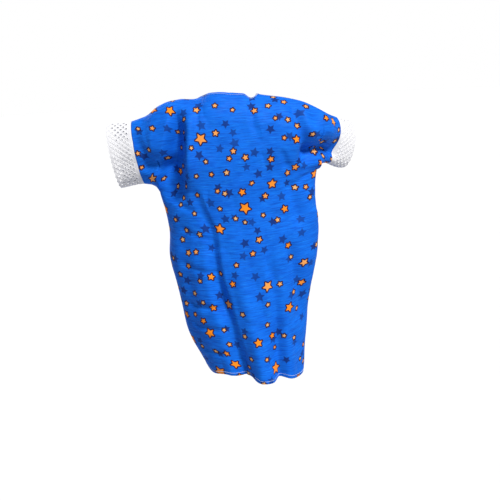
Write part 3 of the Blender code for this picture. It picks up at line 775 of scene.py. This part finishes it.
def make_binding(material, print_start):
    """The folded band round the neck: over the edge and back inside, as one closed ring."""
    sheet = Sheet("neck_band")
    rows = []
    for margin, out in BINDING_PROFILE:
        ring = []
        for panel, turn in (("back", 1), ("front", -1)):
            x, z = neck_edge(np.linspace(0, math.pi, 97)[::turn], margin, panel)
            ring.append(cloth(x, z, panel, out, 0.0)[1][:-1])
        rows.append(np.concatenate(ring))
    grid = np.array(rows)
    around = np.arange(grid.shape[1]) * BINDING_ROUND / grid.shape[1]
    cut = [np.stack((around, np.full_like(around, i * BINDING_ROW)), -1) for i in range(len(grid))]
    sheet.add(grid, np.stack(cut) + np.array(print_start), 0.5, True, closed=True)
    return sheet.build(material, BAND_CLOTH)


def stitch_row(name, line, stitches, material):
    """A row of short raised stitches along a line that runs all round the dress, as one mesh."""
    points, normals = all_round(line)
    pitch, length, radius = stitches
    steps = np.linalg.norm(np.diff(points, axis=0), axis=1)
    along = np.concatenate(((0,), np.cumsum(steps)))
    places = np.arange(pitch / 2, along[-1], pitch)
    spokes = 6
    angle = np.arange(spokes) * 2 * math.pi / spokes
    all_points, all_faces = [], []

    def read(values, at):
        """The line's points or normals at a length along it."""
        return np.array([np.interp(at, along, values[:, i]) for i in range(3)])

    for place in places:
        ring_points = []
        for where, size in STITCH_SECTIONS:
            at = place + where * length
            up = read(normals, at)
            across = np.cross(up, read(points, at + 1e-4) - read(points, at - 1e-4))
            across /= max(np.linalg.norm(across), 1e-9)
            up = up / max(np.linalg.norm(up), 1e-9)
            offset = np.cos(angle)[:, None] * across + np.sin(angle)[:, None] * up
            sunk = read(points, at) + up * (size - 1.0) * radius
            ring_points.append(sunk + offset * radius * size)
        first = len(all_points) * len(STITCH_SECTIONS) * spokes
        last = first + (len(STITCH_SECTIONS) - 1) * spokes
        all_points.append(np.concatenate(ring_points))
        for start in range(first, last, spokes):
            for i in range(spokes):
                a, b = start + i, start + (i + 1) % spokes
                all_faces.append((a, b, b + spokes, a + spokes))
        all_faces.append(tuple(first + i for i in reversed(range(spokes))))
        all_faces.append(tuple(last + i for i in range(spokes)))
    mesh = bpy.data.meshes.new(name)
    mesh.from_pydata(np.concatenate(all_points).tolist(), [], all_faces)
    return as_piece(name, mesh, material)


# ---- Materials ----


class Nodes:
    """Short calls that add nodes to a tree and link them."""

    def __init__(self, tree):
        self.tree = tree

    def add(self, kind, **settings):
        """A new node, with its settings."""
        node = self.tree.nodes.new(kind)
        for name, value in settings.items():
            setattr(node, name, value)
        return node

    def put(self, socket, value):
        """Links a socket to another one's value, or gives it a plain value."""
        if isinstance(value, bpy.types.NodeSocket):
            self.tree.links.new(value, socket)
        else:
            socket.default_value = value

    def make(self, kind, inputs, output=0, **settings):
        """An output of a new node, with its inputs by name or number, and its settings."""
        node = self.add(kind, **settings)
        for key, value in inputs.items():
            self.put(node.inputs[key], value)
        return node.outputs[output]

    def math(self, operation, a, b=0.0):
        return self.make("ShaderNodeMath", {0: a, 1: b}, operation=operation)

    def plus(self, a, b):
        return self.math("ADD", a, b)

    def minus(self, a, b):
        return self.math("SUBTRACT", a, b)

    def times(self, a, b):
        return self.math("MULTIPLY", a, b)

    def vector(self, operation, a, b=(0.0, 0.0, 0.0), output=0):
        return self.make("ShaderNodeVectorMath", {0: a, 1: b}, output, operation=operation)

    def scaled(self, vector, scale):
        return self.make("ShaderNodeVectorMath", {0: vector, "Scale": scale}, operation="SCALE")

    def length(self, vector):
        return self.vector("LENGTH", vector, output="Value")

    def turned(self, vector, angle):
        inputs = {"Vector": vector, "Angle": angle}
        return self.make("ShaderNodeVectorRotate", inputs, rotation_type="Z_AXIS")

    def split(self, vector):
        node = self.add("ShaderNodeSeparateXYZ")
        self.put(node.inputs[0], vector)
        return node.outputs

    def join(self, x, y, z):
        return self.make("ShaderNodeCombineXYZ", {0: x, 1: y, 2: z})

    def ramp(self, value, low, high, to_low=0.0, to_high=1.0):
        inputs = dict(enumerate((value, low, high, to_low, to_high)))
        return self.make("ShaderNodeMapRange", inputs, interpolation_type="SMOOTHSTEP")

    def colour(self, share, a, b):
        return self.make("ShaderNodeMix", {0: share, 6: a, 7: b}, 2, data_type="RGBA")

    def noise(self, vector, scale, detail, roughness=0.5, output=0):
        inputs = {"Vector": vector, "Scale": scale, "Detail": detail, "Roughness": roughness}
        return self.make("ShaderNodeTexNoise", inputs, output)

    def random(self, vector):
        return self.make("ShaderNodeTexWhiteNoise", {"Vector": vector}, "Color", noise_dimensions="3D")

    def bump(self, height, strength, distance, **normal):
        inputs = {"Height": height, "Strength": strength, "Distance": distance, **normal}
        return self.make("ShaderNodeBump", inputs)

    def seen_or_not(self, seen, lighting):
        """A shader that looks like seen to the camera, and lights the scene like lighting."""
        to_camera = self.add("ShaderNodeLightPath").outputs["Is Camera Ray"]
        return self.make("ShaderNodeMixShader", {0: to_camera, 1: lighting, 2: seen})


def new_material(name):
    """A material with its nodes and its shader."""
    material = bpy.data.materials.new(name)
    material.use_nodes = True
    return material, Nodes(material.node_tree), material.node_tree.nodes["Principled BSDF"]


# A star's inner corners lie at this share of its radius, and it repeats every two turns of this angle
STAR_INNER = 0.50
STAR_TURN = math.pi / 5
STAR_INPUTS = ("Cell", "Turn", "Seed", "Spread", "Small", "Large", "Share")


def star_lattice(n, given):
    """The way from the star of a place's cell to the place, the star's random numbers, and its absence."""
    seed = given["Seed"]
    placed = n.vector("ADD", n.turned(given["Cut"], given["Turn"]), n.join(seed, seed, 0.0))
    cells = n.scaled(placed, n.math("DIVIDE", 1.0, given["Cell"]))
    seeded = n.vector("ADD", n.vector("FLOOR", cells), n.join(0.5, 0.5, seed))
    first = n.split(n.random(seeded))
    second = n.split(n.random(n.vector("ADD", seeded, (17.0, 9.0, 31.0))))
    wander = n.vector("SUBTRACT", n.join(first[0], first[1], 0.5), (0.5, 0.5, 0.5))
    centre = n.scaled(wander, given["Spread"])
    in_cell = n.vector("SUBTRACT", n.vector("FRACTION", cells), (0.5, 0.5, 0.0))
    local = n.vector("SUBTRACT", in_cell, centre)
    away = n.vector("MULTIPLY", n.scaled(local, given["Cell"]), (1.0, 1.0, 0.0))
    absent = n.math("GREATER_THAN", first[2], given["Share"])
    return away, second, absent


def star_group(name, outputs):
    """An empty node group for one layer of stars, with its node calls, inputs and output node."""
    tree = bpy.data.node_groups.new(name, "ShaderNodeTree")
    tree.interface.new_socket(name="Cut", in_out="INPUT", socket_type="NodeSocketVector")
    for item in STAR_INPUTS:
        tree.interface.new_socket(name=item, in_out="INPUT", socket_type="NodeSocketFloat")
    for item, kind in outputs:
        tree.interface.new_socket(name=item, in_out="OUTPUT", socket_type=kind)
    n = Nodes(tree)
    return tree, n, n.add("NodeGroupInput").outputs, n.add("NodeGroupOutput")


def star_field_group():
    """A node group that scatters five-pointed stars, one at most in each cell of a turned square grid.

    Distance is how far a place is outside its star's edge, below zero inside it. Beyond is how far
    it is outside the circle through the star's points. Pick is a random number of the star's own,
    and Centre is where the star stands on the cloth.
    """
    outputs = (
        ("Distance", "NodeSocketFloat"),
        ("Beyond", "NodeSocketFloat"),
        ("Pick", "NodeSocketFloat"),
        ("Centre", "NodeSocketVector"),
    )
    tree, n, given, result = star_group("star_field", outputs)
    away, second, absent = star_lattice(n, given)
    x, y, _ = n.split(away)
    length = n.length(away)
    angle = n.plus(n.math("ARCTAN2", y, x), n.times(second[1], 2 * math.pi))
    folded = n.math("PINGPONG", angle, STAR_TURN)
    size_share = n.math("POWER", second[0], 1.6)
    radius = n.plus(given["Small"], n.times(size_share, n.minus(given["Large"], given["Small"])))
    px = n.minus(n.times(length, n.math("COSINE", folded)), radius)
    py = n.times(length, n.math("SINE", folded))
    run = 1 - STAR_INNER * math.cos(STAR_TURN)
    rise = STAR_INNER * math.sin(STAR_TURN)
    slant = math.hypot(run, rise)
    distance = n.plus(n.times(px, rise / slant), n.times(py, run / slant))
    n.put(result.inputs["Distance"], n.plus(distance, absent))
    n.put(result.inputs["Beyond"], n.plus(n.minus(length, radius), absent))
    n.put(result.inputs["Pick"], second[2])
    turned_back = n.turned(away, n.times(given["Turn"], -1.0))
    n.put(result.inputs["Centre"], n.vector("SUBTRACT", given["Cut"], turned_back))
    return tree


def star_near_group():
    """A node group that tells how far a place is from its cell's star, and far off if there is none."""
    tree, n, given, result = star_group("star_near", (("Away", "NodeSocketFloat"),))
    away, _, absent = star_lattice(n, given)
    n.put(result.inputs["Away"], n.plus(n.length(away), absent))
    return tree


# Star layers of the print, drawn from the bottom up. Sizes are in metres; stars to the square metre
# are share / cell squared. keep_off is how close another layer's star may come.
STAR_COLUMNS = ("cell", "turn", "seed", "spread", "small", "large", "share", "line", "keep_off")
NAVY_STARS = {
    "navy_one": (0.084, 0.35, 3.1, 0.50, 0.0170, 0.0215, 0.56, 0.0, 0.028),
    "navy_two": (0.092, 1.12, 8.7, 0.50, 0.0165, 0.0205, 0.56, 0.0, 0.028),
}
ORANGE_STARS = {
    "small_one": (0.0660, 0.20, 12.3, 0.46, 0.0072, 0.0104, 0.50, 0.0046, 0.024),
    "small_two": (0.0700, 0.95, 27.9, 0.44, 0.0074, 0.0108, 0.50, 0.0046, 0.024),
    "middling": (0.0940, 1.40, 41.5, 0.48, 0.0112, 0.0148, 0.36, 0.0048, 0.034),
    "large": (0.1500, 0.62, 55.2, 0.46, 0.0170, 0.0250, 0.50, 0.0048, 0.046),
}
# Which layers give way to which: a star is left out where one of the others is already close
GIVES_WAY = {
    "small_one": ("large", "middling"),
    "small_two": ("large", "middling", "small_one"),
    "middling": ("large",),
    "navy_one": ("large",),
    "navy_two": ("large", "navy_one"),
}
BLUE = (0.003, 0.150, 0.760, 1.0)
DEEP_BLUE = (0.002, 0.100, 0.620, 1.0)
DARK_SLUB = (0.001, 0.050, 0.400, 1.0)
PALE_SLUB = (0.020, 0.300, 0.950, 1.0)
RUBBED_BLUE = (0.140, 0.330, 0.900, 1.0)
NAVY = (0.004, 0.032, 0.210, 1.0)
OUTLINE = (0.022, 0.010, 0.045, 1.0)
ORANGE = (0.950, 0.270, 0.012, 1.0)
DEEP_ORANGE = (0.900, 0.200, 0.010, 1.0)
PEACH = (0.800, 0.430, 0.170, 1.0)
# Painted shade: the grey-blue that the lace takes in the grooves between its threads
THREAD_GAP_PAINTED_SHADE = (0.60, 0.60, 0.65, 1.0)
WHITE_COTTON = (0.88, 0.88, 0.90, 1.0)
DULL_COTTON = (0.80, 0.80, 0.83, 1.0)

# How far the ink creeps along the threads, in metres, and the threads' phase for each metre
INK_CREEP = 0.0012
COTTON_THREADS = 9500.0
LACE_THREADS = 6200.0


def wax_print_material():
    """Wax print cotton: stars on cobalt blue, slubs, ink bleed, weave and a soft sheen."""
    material, n, shader = new_material("wax_print_cotton")
    cut = n.add("ShaderNodeAttribute", attribute_name="cut").outputs["Vector"]
    edge = n.add("ShaderNodeAttribute", attribute_name="edge").outputs["Fac"]

    # the ink creeps a little along the threads, so every edge of the print wavers
    creep = n.vector("SUBTRACT", n.noise(cut, 420.0, 3.0, output="Color"), (0.5, 0.5, 0.5))
    inked = n.vector("ADD", cut, n.vector("MULTIPLY", creep, (INK_CREEP, INK_CREEP, 0.0)))

    patches = n.noise(cut, 9.0, 3.0)
    ground = n.colour(n.ramp(patches, 0.40, 0.72, 0.0, 0.45), BLUE, DEEP_BLUE)
    slub = n.noise(n.vector("MULTIPLY", cut, (16.0, 210.0, 1.0)), 1.0, 3.0, 0.6)
    ground = n.colour(n.ramp(slub, 0.40, 0.70, 0.0, 0.62), ground, DARK_SLUB)
    pale_slub = n.noise(n.vector("MULTIPLY", cut, (22.0, 330.0, 3.0)), 1.0, 3.0, 0.6)
    ground = n.colour(n.ramp(pale_slub, 0.52, 0.74, 0.0, 0.50), ground, PALE_SLUB)

    scatter, near = star_field_group(), star_near_group()
    layers = {name: dict(zip(STAR_COLUMNS, row)) for name, row in (NAVY_STARS | ORANGE_STARS).items()}

    def fill_in(node, name):
        """Gives a star group its layer's sizes."""
        for item in STAR_INPUTS:
            node.inputs[item].default_value = layers[name][item.lower()]

    def stars(name):
        """How far a place is outside the layer's stars and outside their outlines, and each star's pick."""
        layer = layers[name]
        node = n.add("ShaderNodeGroup", node_tree=scatter)
        n.put(node.inputs["Cut"], inked)
        fill_in(node, name)
        left_out = 0.0
        for other in GIVES_WAY.get(name, ()):
            neighbour = n.add("ShaderNodeGroup", node_tree=near)
            n.put(neighbour.inputs["Cut"], node.outputs["Centre"])
            fill_in(neighbour, other)
            close = n.math("LESS_THAN", neighbour.outputs["Away"], layers[other]["keep_off"])
            left_out = n.math("MAXIMUM", left_out, close)
        distance = n.plus(node.outputs["Distance"], left_out)
        straight = n.minus(distance, layer["line"])
        rounded = n.minus(node.outputs["Beyond"], layer["line"] * 0.9)
        return distance, n.math("MAXIMUM", straight, rounded), node.outputs["Pick"]

    colour = ground
    for name in NAVY_STARS:
        distance, _, pick = stars(name)
        inside = n.ramp(distance, 0.0013, -0.0013, 0.0, 1.0)
        colour = n.colour(n.times(inside, n.ramp(pick, 0.0, 1.0, 0.72, 1.0)), colour, NAVY)
    for name in ORANGE_STARS:
        distance, around, pick = stars(name)
        paler = (0.0, 0.8, 0.35, 1.0) if name.startswith("small") else (0.3, 1.0, 0.0, 0.6)
        warm = n.colour(n.ramp(pick, *paler), ORANGE, PEACH)
        mottled = n.colour(n.ramp(n.noise(cut, 240.0, 2.0), 0.45, 0.75, 0.0, 0.30), warm, DEEP_ORANGE)
        colour = n.colour(n.ramp(around, 0.0004, -0.0004), colour, OUTLINE)
        colour = n.colour(n.ramp(distance, 0.0004, -0.0004), colour, mottled)

    # cloth rubs paler along its hems and seams
    worn_spots = n.ramp(n.noise(cut, 160.0, 3.0), 0.40, 0.80, 0.0, 0.25)
    colour = n.colour(n.times(n.ramp(edge, 0.3, 1.0), worn_spots), colour, RUBBED_BLUE)
    n.put(shader.inputs["Base Color"], colour)

    # warp and weft, with uneven threads
    x, y, _ = n.split(cut)
    uneven = n.times(n.noise(n.vector("MULTIPLY", cut, (300.0, 300.0, 1.0)), 1.0, 2.0), 3.0)
    warp, weft = (n.math("SINE", n.plus(n.times(axis, COTTON_THREADS), uneven)) for axis in (x, y))
    woven = n.bump(n.times(warp, weft), 0.35, 0.00012)
    crumple = n.plus(n.noise(cut, 60.0, 4.0, 0.55), n.times(slub, 0.6))
    n.put(shader.inputs["Normal"], n.bump(crumple, 0.5, 0.0012, Normal=woven))
    n.put(shader.inputs["Roughness"], n.ramp(n.noise(cut, 35.0, 3.0), 0.3, 0.7, 0.62, 0.78))
    shader.inputs["Specular IOR Level"].default_value = 0.12
    shader.inputs["Sheen Weight"].default_value = 0.03
    shader.inputs["Sheen Roughness"].default_value = 0.45
    shader.inputs["Sheen Tint"].default_value = (0.20, 0.50, 1.0, 1.0)
    return material


def lace_material():
    """White cotton lace: a fine net ground, and satin stitch laid radially round each eyelet, with painted
    shade between the threads.
    """
    material, n, shader = new_material("white_eyelet_lace")
    local = n.add("ShaderNodeUVMap", uv_map="eyelet").outputs["UV"]
    position = n.add("ShaderNodeTexCoord").outputs["Object"]
    x, y, _ = n.split(local)
    length = n.length(local)
    angle = n.math("ARCTAN2", y, x)
    satin_stitch = n.math("SINE", n.times(angle, 44.0))
    on_rim = n.ramp(length, 0.0056, 0.0044)
    along, round_cuff = (n.math("SINE", n.times(axis, LACE_THREADS)) for axis in (x, y))
    net = n.times(along, round_cuff)
    thread = n.plus(n.times(satin_stitch, on_rim), n.times(net, n.minus(1.0, on_rim)))
    fuzz = n.noise(position, 900.0, 2.0)
    n.put(shader.inputs["Normal"], n.bump(n.plus(n.times(thread, 0.5), fuzz), 0.6, 0.0003))
    # painted shade: where the thread relief dips between threads, the white is darkened to grey-blue
    colour = n.colour(n.ramp(thread, -0.9, 0.3), THREAD_GAP_PAINTED_SHADE, WHITE_COTTON)
    patches = n.ramp(n.noise(position, 30.0, 3.0), 0.4, 0.7, 0.0, 0.5)
    colour = n.colour(patches, colour, DULL_COTTON)
    n.put(shader.inputs["Base Color"], colour)
    n.put(shader.inputs["Roughness"], n.ramp(fuzz, 0.3, 0.7, 0.70, 0.88))
    shader.inputs["Specular IOR Level"].default_value = 0.3
    shader.inputs["Sheen Weight"].default_value = 0.15
    return material


def thread_material(name, colour):
    """Sewing thread with a fine twist."""
    material, n, shader = new_material(name)
    position = n.add("ShaderNodeTexCoord").outputs["Object"]
    twist = n.noise(position, 1400.0, 2.0)
    dark = tuple(c * 0.75 for c in colour[:3]) + (1.0,)
    n.put(shader.inputs["Base Color"], n.colour(n.ramp(twist, 0.35, 0.6), dark, colour))
    n.put(shader.inputs["Normal"], n.bump(twist, 0.5, 0.0002))
    shader.inputs["Roughness"].default_value = 0.6
    return material


def floor_material():
    """Pale matt paint. It looks paler than the light that it throws back up, so folds keep their shade."""
    material, n, shader = new_material("studio_floor")
    material.node_tree.nodes.remove(shader)
    position = n.add("ShaderNodeTexCoord").outputs["Object"]
    mottle = n.colour(n.noise(position, 3.0, 3.0), (0.730, 0.730, 0.738, 1.0), (0.755, 0.755, 0.760, 1.0))
    paint = n.make("ShaderNodeBsdfDiffuse", {"Color": mottle})
    thrown_back = n.make("ShaderNodeBsdfDiffuse", {"Color": (0.45, 0.45, 0.46, 1.0)})
    either = n.seen_or_not(paint, thrown_back)
    n.put(material.node_tree.nodes["Material Output"].inputs["Surface"], either)
    return material


# ---- The dress ----


def all_round(line):
    """Points and normals of a line that runs over the back one way and over the front the other way."""
    back, front = line("back", 1), line("front", -1)
    return np.concatenate((back[1], front[1])), np.concatenate((back[2], front[2]))


def hem_line(panel, turn):
    """The stitched line above the hem."""
    x, z = body_places(panel)
    x, z = x[-1][::turn], z[-1][::turn] + HEM_STITCH
    span = mix(side_x(z, "right"), side_x(z, "left"), (x - x.min()) / np.ptp(x))
    return cloth(span, z, panel, CLOTH + 0.0001)


def neck_line(margin, out):
    """A line round the neck at a margin from its free edge."""

    def line(panel, turn):
        x, z = neck_edge(np.linspace(0, math.pi, 121)[::turn], margin, panel)
        return cloth(x, z, panel, out, 0.0)

    return line


def build_dress():
    """All pieces of the dress, riding on the one body and standing for its CAD nodes."""
    cotton = wax_print_material()
    lace = lace_material()
    pale_thread = thread_material("pale_blue_thread", (0.62, 0.74, 0.95, 1.0))
    white_thread = thread_material("white_thread", (0.85, 0.87, 0.93, 1.0))

    back = make_panel("back", cotton, (0.0, 0.0))
    front = make_panel("front", cotton, (3.4, 1.7))
    cuff_left, form_left = make_cuff("left", lace)
    cuff_right, form_right = make_cuff("right", lace)
    band = make_binding(cotton, (7.1, 0.4))
    hem_stitches = stitch_row("hem_stitches", hem_line, HEM_STITCHES, pale_thread)
    line = neck_line(*NECK_STITCH_LINE)
    neck_stitches = stitch_row("neck_stitches", line, NECK_STITCHES, pale_thread)
    line = neck_line(*EDGE_STITCH_LINE)
    edge_stitches = stitch_row("neck_edge_stitches", line, EDGE_STITCHES, white_thread)

    pieces = {
        "back_panel": back,
        "front_panel": front,
        "cuff_left": cuff_left,
        "cuff_right": cuff_right,
        "neck_binding": band,
    }
    for node, piece in pieces.items():
        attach(piece, "root")
        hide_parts(node)
    for piece in (hem_stitches, neck_stitches, edge_stitches):
        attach(piece, "root")
    return pieces, hem_stitches, neck_stitches, edge_stitches, form_left, form_right


pieces, hem_stitches, neck_stitches, edge_stitches, form_left, form_right = build_dress()

# ---- Studio ----

FLOOR_Z = -3.50
CAMERA_PLACE = (-0.03, 3.0, 0.15)
CAMERA_TILT_DEG = 14.0
CAMERA_ROLL_DEG = 3.5
CAMERA_LENS_MM = 57.0


def make_floor():
    """A plain pale floor far below the dress, so that its shadow stays out of the picture."""
    bpy.ops.mesh.primitive_circle_add(vertices=64, radius=60.0, fill_type="NGON", location=(0, 0, FLOOR_Z))
    floor = bpy.context.object
    floor.name = "floor"
    floor.data.materials.append(floor_material())


def make_camera():
    """The camera behind the dress, at the photograph's viewing angle."""
    data = bpy.data.cameras.new("camera")
    data.sensor_width = 36.0
    data.lens = CAMERA_LENS_MM
    camera = bpy.data.objects.new("camera", data)
    facing = Matrix.Rotation(math.pi, 4, "Z") @ Matrix.Rotation(math.radians(90 - CAMERA_TILT_DEG), 4, "X")
    camera.matrix_world = (
        Matrix.Translation(CAMERA_PLACE) @ facing @ Matrix.Rotation(math.radians(-CAMERA_ROLL_DEG), 4, "Z")
    )
    bpy.context.scene.collection.objects.link(camera)
    bpy.context.scene.camera = camera


def make_sun(name, toward, strength, softness_deg, colour):
    """A soft light from far away, coming from the direction toward."""
    data = bpy.data.lights.new(name, "SUN")
    data.energy = strength
    data.angle = math.radians(softness_deg)
    data.color = colour
    light = bpy.data.objects.new(name, data)
    light.rotation_euler = Vector(toward).to_track_quat("Z", "Y").to_euler()
    bpy.context.scene.collection.objects.link(light)


def make_world():
    """Bright white behind everything, and a softer, slightly blue light from all round."""
    world = bpy.data.worlds.new("studio")
    world.use_nodes = True
    bpy.context.scene.world = world
    tree = world.node_tree
    tree.nodes.clear()
    n = Nodes(tree)
    seen = n.make("ShaderNodeBackground", {"Color": (1.0, 1.0, 1.0, 1.0), "Strength": 1.0})
    lighting = n.make("ShaderNodeBackground", {"Color": (0.80, 0.88, 1.0, 1.0), "Strength": 0.24})
    n.put(n.add("ShaderNodeOutputWorld").inputs[0], n.seen_or_not(seen, lighting))


make_floor()
make_camera()
make_world()
make_sun("key", toward=(-0.38, 0.54, 0.82), strength=4.20, softness_deg=11.0, colour=(1.0, 0.98, 0.95))
make_sun("front", toward=(0.50, -0.85, 0.30), strength=1.9, softness_deg=30.0, colour=(0.96, 0.98, 1.0))
bpy.context.scene.view_settings.view_transform = "Standard"
